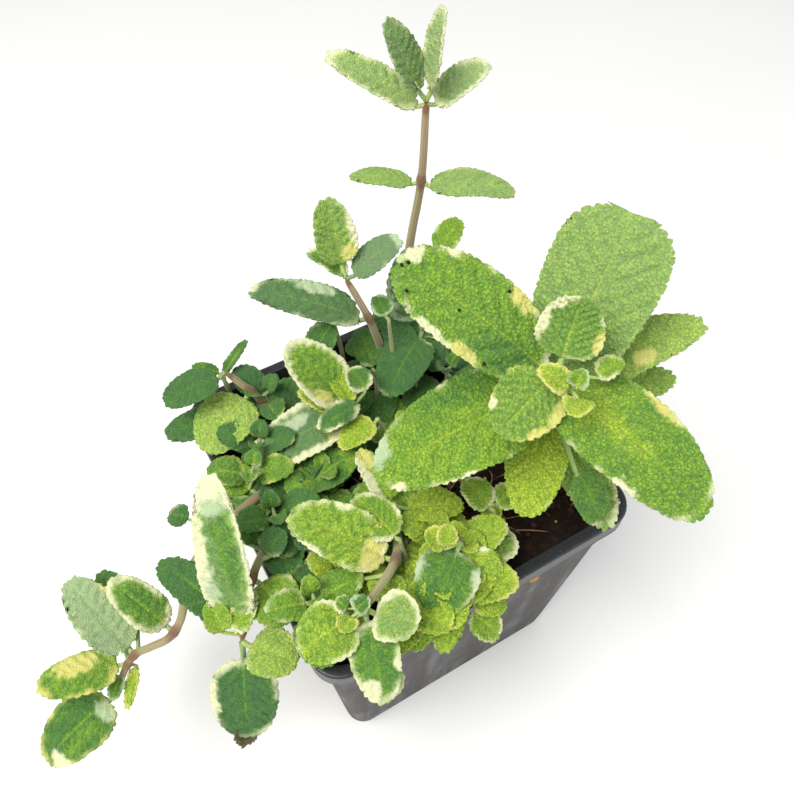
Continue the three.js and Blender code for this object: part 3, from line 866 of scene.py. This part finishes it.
def clearRim(start, turn, rise, long):
    # the rise with which a leaf that reaches past the pot's wall passes over the rim
    for out, share in ((start.x, math.cos(math.radians(turn))), (start.y, math.sin(math.radians(turn)))):
        toWall = thinStem["wall"] - math.copysign(out, out * share)
        if abs(share) * long > toWall:
            lift = rimTop + thinStem["leafOverRim"] - start.z
            rise = max(rise, math.degrees(math.atan2(lift, max(toWall, 2) / abs(share))))
    return min(rise, steepest)


def growSprout(name, x, y, height, kind, seed):
    rng = random.Random(seed)
    if max(abs(x), abs(y)) > 30:
        height = rimTop + 5.5
    reach = thinStem["footReach"]
    foot = Vector((clamp(x, reach) * 0.9, clamp(y, reach) * 0.9, soilTop - 2.5))
    path = smoothPath([foot, Vector((x, y, height - 7)), Vector((x, y, height))], 12)
    addThinStem(name + "_stem", path, 0.9, 0.5)
    leafy = None
    heading = rng.uniform(0, 180)
    for level, (share, rise) in enumerate(((1.0, 2), (0.8, 24), (0.42, 48))):
        node = Vector((x, y, height - (5.5, 2.2, 0.4)[level]))
        for side in (0, 180):
            long = kind["size"] * share * rng.uniform(0.85, 1.12)
            turn = heading + 90 * level + side + rng.uniform(-14, 14)
            aim = (turn, clearRim(node, turn, rise + rng.uniform(-9, 9), long))
            size = (long, long * rng.uniform(0.74, 0.9))
            tone = kind["tone"] + rng.uniform(-0.1, 0.14)
            look = blade(aim, size, (0.8, 0.4), tone, kind["rim"], base=node, droop=1.2 * share, veins=6,
                         rimKind=rng.choice(("cream", "milk", "yellow")))
            leaf = Leaf(f"{name}_{level}_{side}", look, seed * 6 + level * 2 + side / 180)
            leaf.base += leaf.axes @ Vector((1.6 * share, 0, 0))
            bm = leaf.build(0.55, node)
            if leafy:
                joinInto(leafy, bm)
            else:
                leafy = bm
    thicken(addPiece(name + "_leaves", leafy, [leafSkin, leafBack]))


for kindNumber, (kindName, kind) in enumerate(lowGrowth.items()):
    for number, (x, y, height) in enumerate(kind["places"]):
        growSprout(f"{kindName}_sprout_{number + 1}", x, y, height, kind, 40 + kindNumber * 20 + number)
print("low growth built")

# Pot

potDetail = {
    "cornerRadius": 6.0,
    "rimWidth": 92.0,
    "rimDepth": 6.0,
    "rimRound": 0.6,
    "topWidth": 88.0,
    "baseWidth": 77.0,
    "wall": 1.2,
    "floor": 1.6,
    "stepDepth": 0.35,  # the moulded line that pots stack on
    "stepBelow": 17.0,
    "drainHole": 3.5,
    "drainReach": 25.5,
    "drillDepth": 8,
    "sharpAngle": 38,
}


def squareRing(width, radius, edgeCount, cornerCount):
    # places round a rounded square, anticlockwise
    half = width / 2
    radius = min(radius, half)
    straight = half - radius
    places = []
    for corner in range(4):
        turn = Matrix.Rotation(corner * math.pi / 2, 2)
        for i in range(edgeCount):
            places.append(turn @ Vector((half, mix(-straight, straight, i / edgeCount))))
        for i in range(cornerCount):
            angle = i / cornerCount * math.pi / 2
            places.append(turn @ Vector((straight + radius * math.cos(angle),
                                         straight + radius * math.sin(angle))))
    return places


def wallWidth(height):
    return mix(potDetail["baseWidth"], potDetail["topWidth"], height / rimTop)


def potOutline():
    # half of the pot's section as (width, corner radius, height), from under the floor to over it
    d = potDetail
    stepHeight = rimTop - d["stepBelow"]
    rim, depth, wall, foot = d["rimWidth"], d["rimDepth"], d["wall"], d["baseWidth"]
    corner = d["cornerRadius"]
    outside = [(0.02, 0.01, 0.35), (20, 3, 0.35), (48, 4, 0.35), (56, 4, 0.0), (foot - 3, corner - 1, 0.0),
               (foot - 0.8, corner - 0.4, 0.3), (foot, corner, 1.1)]
    for height in (8, 16, 24, 32, 40, 48, 56, 64, stepHeight - 0.6):
        outside.append((wallWidth(height), corner, height))
    for height in (stepHeight + 0.2, stepHeight + 6, rimTop - depth - 2, rimTop - wall - 0.6):
        outside.append((wallWidth(height) + 2 * d["stepDepth"], corner, height))
    skirt = rim - 2 * wall
    outside += [(wallWidth(rimTop) + 1.2, corner + 0.6, rimTop - wall),
                (skirt, corner + 0.8, rimTop - wall - 0.2), (skirt, corner + 0.8, rimTop - depth + 0.3),
                (rim - wall, corner + 1.4, rimTop - depth),
                (rim, corner + 2, rimTop - depth + 0.4), (rim - 0.1, corner + 2, rimTop - 2.2)]
    for i in range(5):
        angle = i / 4 * math.pi / 2
        pull = d["rimRound"] * (1 - math.cos(angle))
        outside.append((rim - 2 * pull, corner + 2 - pull, rimTop - d["rimRound"] * (1 - math.sin(angle))))
    inner = wallWidth(rimTop) - 2 * wall
    inside = [(inner + 1.4, corner, rimTop), (inner + 0.4, corner - 0.6, rimTop - 0.25),
              (inner, corner - 1, rimTop - 1.0)]
    for height in (rimTop - 5, rimTop - 12, 60, 40, 20, 6):
        inside.append((wallWidth(height) - 2 * wall, corner - 1.2, height))
    base = wallWidth(d["floor"]) - 2 * wall
    inside += [(base, corner - 1.4, d["floor"] + 1.2), (base - 1.6, corner - 1.6, d["floor"]),
               (40, 3, d["floor"]), (0.02, 0.01, d["floor"])]
    return outside + inside


def potFinish():
    skin = Finish("pot_plastic", Specular_IOR_Level=0.5)
    place = skin.place()
    height = skin.node("SeparateXYZ", {"Vector": place}).outputs["Z"]
    stretched = skin.node("Mapping", {"Vector": place, "Scale": (190.0, 190.0, 14.0)}).outputs["Vector"]
    streaks = skin.node("TexNoise", {"Vector": stretched, "Scale": 1.0, "Detail": 5.0,
                                     "Roughness": 0.6}).outputs["Fac"]
    clouds = skin.noise(55.0, 4.0, 0.6)
    specks = skin.noise(1500.0, 2.0, 0.6)
    belowRim = skin.between(height, (rimTop - 4.0) * mm, (rimTop - 9.0) * mm)
    film = skin.between(skin.maths("ADD", streaks, skin.maths("MULTIPLY", clouds, 0.8)), 0.65, 1.15)
    dust = skin.maths("MULTIPLY", film, belowRim)
    plastic = skin.ramp(clouds, [(0.3, tint(30, 32, 38)), (0.7, tint(44, 46, 52))])
    dusty = skin.blend(skin.maths("MULTIPLY", dust, 0.6), plastic, tint(92, 84, 78))
    flecks = skin.maths("MULTIPLY", skin.between(specks, 0.66, 0.74), 0.55)
    return skin.close(skin.blend(flecks, dusty, tint(146, 130, 108)),
                      skin.between(dust, 0.0, 1.0, 0.36, 0.85), skin.maths("ADD", streaks, specks),
                      0.25, 0.0002)


def buildPot():
    outline = potOutline()
    edgeCount, cornerCount = 14, 9
    rings = [squareRing(width, radius, edgeCount, cornerCount) for width, radius, height in outline]
    around = 4 * (edgeCount + cornerCount)
    bm = gridMesh(len(outline) - 1, around)
    for vert in bm.verts:
        ring = round((vert.co.x + 0.5) * (len(outline) - 1))
        spot = rings[ring][round((vert.co.y + 0.5) * around) % around]
        vert.co = Vector((spot.x, spot.y, outline[ring][2])) * mm
    bmesh.ops.remove_doubles(bm, verts=bm.verts, dist=5e-5)
    bmesh.ops.recalc_face_normals(bm, faces=bm.faces)
    pot = addPiece("nursery_pot", bm, [potFinish()], ("pot",))
    drill = bmesh.new()
    reach, hole = potDetail["drainReach"] * mm, potDetail["drainHole"] * mm
    for i in (-1, 0, 1):
        for j in (-1, 0, 1):
            if i or j:
                bmesh.ops.create_cone(drill, cap_ends=True, segments=24, radius1=hole, radius2=hole,
                                      depth=potDetail["drillDepth"] * mm,
                                      matrix=Matrix.Translation((i * reach, j * reach, 0)))
    drillPiece = addObject("drill", meshOf("drill", drill))
    addModifier(pot, "BOOLEAN", object=drillPiece, operation="DIFFERENCE", solver="EXACT")
    bored = bpy.data.meshes.new_from_object(pot.evaluated_get(bpy.context.evaluated_depsgraph_get()))
    pot.modifiers.clear()
    pot.data = bored
    pot.data.shade_smooth()
    pot.data.set_sharp_from_angle(angle=math.radians(potDetail["sharpAngle"]))
    bpy.data.objects.remove(drillPiece)


def stickCrumbs():
    # two pale crumbs of potting mix that cling to the front wall
    bm = bmesh.new()
    for x, z, wide, tall in ((6.8, 73.5, 2.0, 1.8), (16.6, 74.0, 3.4, 1.9)):
        y = -wallWidth(z) / 2 - potDetail["stepDepth"] - 0.2
        made = bmesh.ops.create_icosphere(bm, subdivisions=3, radius=0.5)
        for vert in made["verts"]:
            rough = 1 + 0.35 * noise.noise(vert.co * 4 + Vector((x, 0, 0)))
            size = Vector((wide, 1.1, tall))
            vert.co = (Vector((x, y, z)) + vert.co * size * rough) * mm
    crumbs = scrapFinish("pale_crumb", tint(176, 122, 62), tint(228, 178, 104))
    addPiece("crumbs_on_wall", bm, [crumbs])


buildPot()
print("pot built")

# Soil

soilDetail = {"lump": 1.9, "spacing": 1.0, "scrapReach": 38}


def soilFinish():
    skin = Finish("potting_mix", Specular_IOR_Level=0.25)
    coarse = skin.noise(420.0, 6.0, 0.7)
    fine = skin.noise(2600.0, 3.0, 0.7)
    dark = skin.ramp(coarse, [(0.3, tint(16, 11, 8)), (0.55, tint(38, 27, 19)),
                              (0.8, tint(78, 56, 38))])
    pale = skin.between(fine, 0.62, 0.72, 0.0, 0.6)
    return skin.close(skin.blend(pale, dark, tint(122, 92, 60)), 0.95,
                      skin.maths("ADD", coarse, fine), 0.8, 0.0006)


def scrapFinish(name, low, high):
    skin = Finish(name, Specular_IOR_Level=0.25)
    speckled = skin.ramp(skin.noise(900.0, 4.0), [(0.3, low), (0.7, high)])
    return skin.close(speckled, 0.85, skin.noise(2500.0), 0.5, 0.0002)


def soilLump(x, y):
    place = Vector((x * 0.16, y * 0.16, 1.7))
    heap = noise.noise(place) + 0.5 * noise.noise(place * 2.7) + 0.3 * noise.noise(place * 6.1)
    return soilDetail["lump"] * heap - 0.9


def buildSoil():
    low, high = soilLow / mm, soilHigh / mm
    half = high.x
    count = int(2 * half / soilDetail["spacing"])
    bm = gridMesh(count, count)
    for vert in bm.verts:
        x, y = vert.co.x * 2, vert.co.y * 2
        # pull the square's corners in to the pot's round ones
        corner = max(abs(x) + abs(y) - 1.86, 0) * 0.32
        x, y = x * (1 - corner) * half, y * (1 - corner) * half
        vert.co = Vector((x, y, high.z + soilLump(x, y))) * mm
    rim = [edge for edge in bm.edges if edge.is_boundary]
    for drop, narrow in ((14, 0.985), (45, 0.95), (high.z - low.z - 1, 0.885)):
        made = bmesh.ops.extrude_edge_only(bm, edges=rim)["geom"]
        rimVerts = [item for item in made if isinstance(item, bmesh.types.BMVert)]
        rim = [item for item in made if isinstance(item, bmesh.types.BMEdge)]
        wide = max(vert.co.x for vert in rimVerts)
        for vert in rimVerts:
            vert.co.x *= half * narrow * mm / wide
            vert.co.y *= half * narrow * mm / wide
            vert.co.z = (high.z - drop) * mm
    rim = [edge for edge in bm.edges if edge.is_boundary]
    bmesh.ops.holes_fill(bm, edges=rim, sides=len(rim) + 1)
    bmesh.ops.recalc_face_normals(bm, faces=bm.faces)
    addPiece("potting_mix", bm, [soilFinish()], ("soil",))


def scatterScraps(name, count, shape, material, seed):
    # loose bits lying on the mix, all in one piece
    rng = random.Random(seed)
    reach = soilDetail["scrapReach"]
    bm = bmesh.new()
    for _ in range(count):
        x, y = rng.uniform(-reach, reach), rng.uniform(-reach, reach)
        start = len(bm.verts)
        lift = shape(bm, rng)
        bm.verts.ensure_lookup_table()
        turn = (Matrix.Rotation(rng.uniform(0, math.tau), 3, "Z")
                @ Matrix.Rotation(rng.uniform(-0.35, 0.35), 3, "X"))
        place = Vector((x, y, soilHigh.z / mm + soilLump(x, y) + lift))
        for vert in bm.verts[start:]:
            vert.co = (place + turn @ vert.co) * mm
    addPiece(name, bm, [material])


def crumb(bm, rng):
    size = rng.uniform(0.5, 1.5)
    made = bmesh.ops.create_icosphere(bm, subdivisions=1, radius=size)
    for vert in made["verts"]:
        vert.co *= rng.uniform(0.7, 1.2)
        vert.co.z *= 0.7
    return size * 0.3


def chip(bm, rng):
    made = bmesh.ops.create_cube(bm, size=1)
    long, wide = rng.uniform(2.5, 6.5), rng.uniform(0.9, 2.2)
    for vert in made["verts"]:
        x, y, z = vert.co
        vert.co = Vector((x * long * rng.uniform(0.75, 1.1), y * wide * rng.uniform(0.7, 1.1), z * 0.8))
    bmesh.ops.bevel(bm, geom=list({edge for vert in made["verts"] for edge in vert.link_edges}), offset=0.18,
                    affect="EDGES", segments=1, profile=0.5, material=-1)
    return 0.5


def fibre(bm, rng):
    long, lift = rng.uniform(5, 13), rng.uniform(0.3, 1.6)
    sway = rng.uniform(-2.2, 2.2)
    spots = (0, 0.2, 0.4, 0.6, 0.8, 1.0)
    points = [Vector(((t - 0.5) * long, sway * math.sin(t * 3), lift * math.sin(t * math.pi))) for t in spots]
    joinInto(bm, tubeMesh(points, [0.12 + 0.1 * (1 - abs(2 * t - 1)) for t in spots], 5))
    return 0.5


def grain(bm, rng):
    size = rng.uniform(0.35, 0.75)
    made = bmesh.ops.create_icosphere(bm, subdivisions=2, radius=size)
    for vert in made["verts"]:
        vert.co *= 1 + 0.15 * noise.noise(vert.co * 3 + Vector((rng.random(), 0, 0)))
    return size * 0.6


buildSoil()
# the pieces' and the finishes' names, how many, their shape, their two colours and their seed
scraps = (
    ("peat_crumbs", "peat_crumb", 420, crumb, (22, 15, 10), (66, 46, 30), 3),
    ("bark_chips", "bark_chip", 46, chip, (58, 38, 24), (126, 92, 60), 5),
    ("root_fibres", "root_fibre", 70, fibre, (120, 92, 62), (176, 146, 104), 8),
    ("feed_grains", "feed_grain", 40, grain, (170, 130, 60), (206, 172, 96), 11),
)
for name, finishName, count, shape, dark, pale, seed in scraps:
    material = scrapFinish(finishName, tint(*dark), tint(*pale))
    scatterScraps(name, count, shape, material, seed)
stickCrumbs()
print("soil built")

# Room, light and camera

room = {
    "floorSize": 6,
    "world": 0.62,
    "lampTarget": (0, 0, 0.09),
    "key": {"place": (-0.35, -0.05, 0.75), "size": 0.45, "power": 6.0, "colour": (1.0, 0.97, 0.92)},
    "fill": {"place": (0.55, -0.45, 0.45), "size": 0.6, "power": 1.5, "colour": (0.94, 0.97, 1.0)},
    "camera": {"place": (-0.0533, -0.0917, 0.2673), "target": (0.0087, 0.0170, 0.0900), "lens": 34.0},
}


def aimAt(item, place, target):
    item.location = place
    item.rotation_euler = (Vector(target) - item.location).to_track_quat("-Z", "Y").to_euler()


def buildRoom():
    floor = gridMesh(2, 2)
    for vert in floor.verts:
        vert.co = Vector((vert.co.x * room["floorSize"], vert.co.y * room["floorSize"], potLow.z))
    mesh = meshOf("floor", floor)
    paint = Finish("floor_paint", Roughness=0.9, Specular_IOR_Level=0.1)
    cloudy = paint.ramp(paint.noise(6.0), [(0.0, tint(242, 242, 240)), (1.0, tint(248, 248, 246))])
    paint.feed(paint.shader.inputs["Base Color"], cloudy)
    mesh.materials.append(paint.material)
    addObject("floor", mesh)

    world = bpy.data.worlds.new("studio")
    world.use_nodes = True
    background = world.node_tree.nodes["Background"].inputs
    background["Color"].default_value = (0.97, 0.98, 1.0, 1.0)
    background["Strength"].default_value = room["world"]
    bpy.context.scene.world = world
    for name in ("key", "fill"):
        lamp = room[name]
        light = bpy.data.lights.new(name, "AREA")
        light.size = lamp["size"]
        light.energy = lamp["power"]
        light.color = lamp["colour"]
        aimAt(addObject(name, light), lamp["place"], room["lampTarget"])

    view = room["camera"]
    lens = bpy.data.cameras.new("camera")
    lens.lens = view["lens"]
    lens.sensor_width = 36
    lens.clip_start = 0.005
    lens.dof.use_dof = False
    camera = addObject("camera", lens)
    aimAt(camera, view["place"], view["target"])
    bpy.context.scene.camera = camera
    bpy.context.scene.view_settings.view_transform = "Standard"


buildRoom()
print("room, light and camera set")
